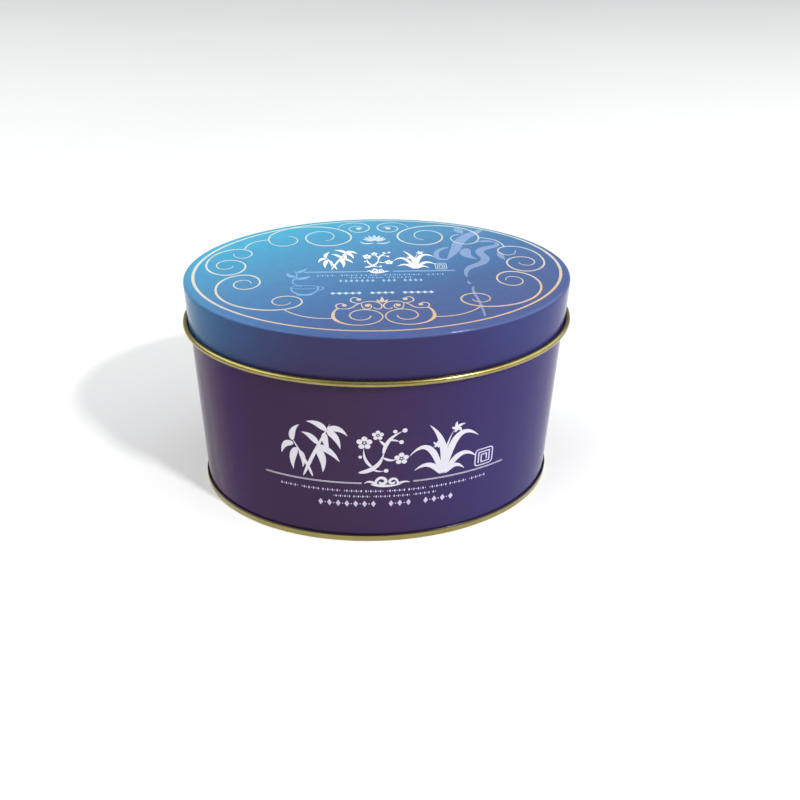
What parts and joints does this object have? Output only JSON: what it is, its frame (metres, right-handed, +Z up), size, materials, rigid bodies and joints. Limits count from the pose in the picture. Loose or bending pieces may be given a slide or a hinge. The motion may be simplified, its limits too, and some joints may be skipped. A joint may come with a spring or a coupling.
{
  "type": "slip-lid tin",
  "caption": "Oval slip-lid tin in printed tinplate, with a drawn lid that lifts off, a curled edge and a double-seamed bottom, for dry food such as tea or biscuits.",
  "frame": {"origin": "centre of the base, at the height of the edge that the tin stands on", "axes": "+Z up, +X along the oval's long axis, the printed front faces -Y and the side seam is at +Y"},
  "size_m": [0.1552, 0.1092, 0.0945],
  "materials": {
    "printed_tinplate": "offset-printed indigo and blue under a clear semi-gloss varnish, on tinplate",
    "gold_lacquer": "transparent gold lacquer over bright tinplate, semi-gloss"
  },
  "bodies": {
    "tin_body": {"body_shell": "printed_tinplate", "bottom_end": "gold_lacquer"},
    "lid": {"lid": "printed_tinplate"}
  },
  "joints": [
    {"name": "lid_lift", "type": "slide", "parent": "tin_body", "child": "lid", "axis": [0, 0, 1], "range_m": [0, 0.06]}
  ]
}
